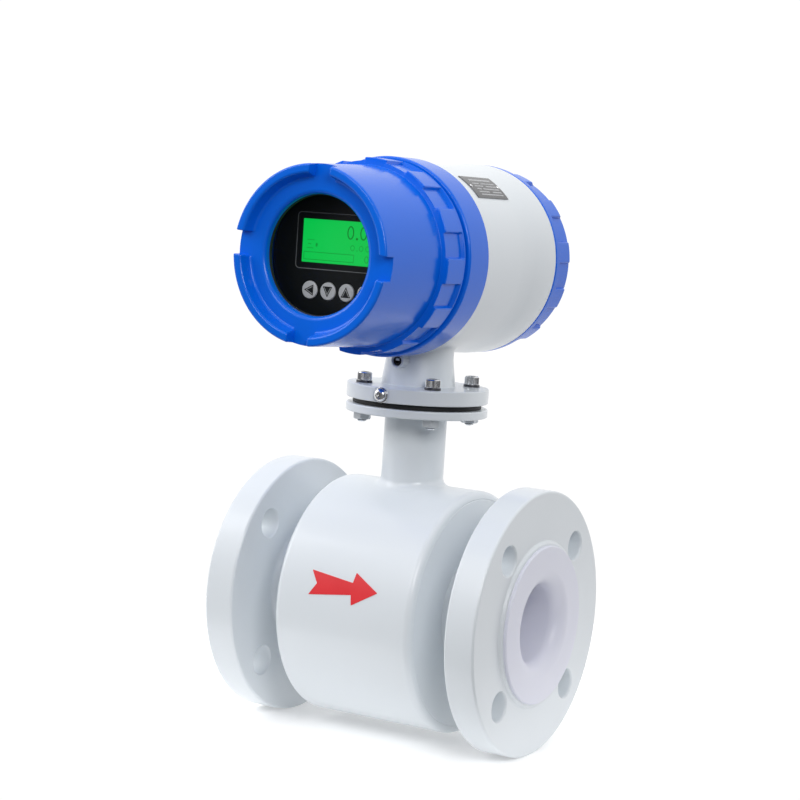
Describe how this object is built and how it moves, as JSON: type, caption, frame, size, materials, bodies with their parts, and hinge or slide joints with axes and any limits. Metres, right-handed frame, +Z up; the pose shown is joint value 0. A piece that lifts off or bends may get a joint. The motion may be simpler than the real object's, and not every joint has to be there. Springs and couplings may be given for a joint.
{
  "type": "electromagnetic flow meter",
  "caption": "Flanged pipe meter: lined bore with coil drum, neck, and a round converter head with a screwed window cover, display, keys and a screwed back cover.",
  "frame": {"origin": "centre of the flow bore, halfway between the liner faces", "axes": "+X is the flow direction along the bore, +Z runs up the neck to the converter, the display faces -Y"},
  "size_m": [0.2, 0.2238, 0.3621],
  "materials": {
    "white_paint": "gloss",
    "blue_paint": "gloss",
    "liner": "smooth, waxy",
    "stainless": "satin",
    "plated_steel": "bright",
    "alloy_pin": "polished",
    "soft_iron": "matt",
    "copper_winding": "enamelled wire",
    "black_rubber": "matt",
    "black_panel": "gloss film",
    "black_plastic": "moulded",
    "screen_green": "backlit",
    "key_grey": "satin",
    "board_green": "lacquered",
    "window_glass": "clear",
    "brass": "machined",
    "terminal_grey": "moulded",
    "lead_sheath": "moulded",
    "insulator_white": "machined",
    "plate_grey": "printed",
    "arrow_red": "film"
  },
  "bodies": {
    "meter": {"measuring_tube": "stainless", "liner": "liner", "inlet_flange": "white_paint", "outlet_flange": "white_paint", "coil_drum": "white_paint", "inlet_end_plate": "white_paint", "outlet_end_plate": "white_paint", "magnet_yoke": "soft_iron", "upper_pole_core": "soft_iron", "lower_pole_core": "soft_iron", "upper_coil": "copper_winding", "lower_coil": "copper_winding", "front_electrode": "alloy_pin", "back_electrode": "alloy_pin", "electrode_insulators": "insulator_white", "electrode_springs": "stainless", "electrode_nuts": "stainless", "neck_tube": "white_paint", "neck_flange": "white_paint", "neck_gasket": "black_rubber", "neck_screws": "plated_steel", "neck_spring_washers": "plated_steel", "neck_nuts": "plated_steel", "converter_housing": "white_paint", "lock_screw": "black_plastic", "earth_screw": "plated_steel", "earth_washer": "plated_steel", "display_panel": "black_panel", "lcd_screen": "screen_green", "lcd_module": "black_plastic", "display_board": "board_green", "key_switches": "black_plastic", "display_frame": "black_plastic", "display_standoffs": "brass", "board_standoffs": "brass", "main_board": "board_green", "power_module": "black_plastic", "lead_plug": "insulator_white", "sensor_leads": "lead_sheath", "wire_feedthrough": "black_plastic", "terminal_block": "terminal_grey", "terminal_screws": "brass", "cable_gland_bodies": "plated_steel", "cable_gland_seals": "black_rubber", "cable_gland_nuts": "plated_steel", "nameplate": "plate_grey", "nameplate_rivets": "plated_steel", "flow_arrow": "arrow_red"},
    "front_cover_seal": {"front_cover_seal": "black_rubber"},
    "front_cover": {"front_cover": "blue_paint", "window_glass": "window_glass", "glass_retainer": "black_plastic"},
    "back_cover_seal": {"back_cover_seal": "black_rubber"},
    "back_cover": {"back_cover": "blue_paint"},
    "left_key": {"left_key": "key_grey"},
    "down_key": {"down_key": "key_grey"},
    "up_key": {"up_key": "key_grey"},
    "enter_key": {"enter_key": "key_grey"}
  },
  "joints": [
    {"name": "front_cover_advance", "type": "slide", "parent": "meter", "child": "front_cover_seal", "axis": [0, -1, 0], "range_m": [0, 0.016]},
    {"name": "front_cover_turn", "type": "hinge", "parent": "front_cover_seal", "child": "front_cover", "pos_m": [0, -0.08, 0.2186], "axis": [0, -1, 0], "range_deg": [0, 2880]},
    {"name": "back_cover_advance", "type": "slide", "parent": "meter", "child": "back_cover_seal", "axis": [0, 1, 0], "range_m": [0, 0.012]},
    {"name": "back_cover_turn", "type": "hinge", "parent": "back_cover_seal", "child": "back_cover", "pos_m": [0, 0.075, 0.2186], "axis": [0, 1, 0], "range_deg": [0, 2160]},
    {"name": "left_key_press", "type": "slide", "parent": "meter", "child": "left_key", "axis": [0, 1, 0], "range_m": [0, 0.0008], "stiffness_N_per_m": 400, "springref_m": -0.0015},
    {"name": "down_key_press", "type": "slide", "parent": "meter", "child": "down_key", "axis": [0, 1, 0], "range_m": [0, 0.0008], "stiffness_N_per_m": 400, "springref_m": -0.0015},
    {"name": "up_key_press", "type": "slide", "parent": "meter", "child": "up_key", "axis": [0, 1, 0], "range_m": [0, 0.0008], "stiffness_N_per_m": 400, "springref_m": -0.0015},
    {"name": "enter_key_press", "type": "slide", "parent": "meter", "child": "enter_key", "axis": [0, 1, 0], "range_m": [0, 0.0008], "stiffness_N_per_m": 400, "springref_m": -0.0015}
  ],
  "couplings": [
    {"joint": "front_cover_advance", "follows": "front_cover_turn", "m_per_rad": 0.0003183},
    {"joint": "back_cover_advance", "follows": "back_cover_turn", "m_per_rad": 0.0003183}
  ]
}
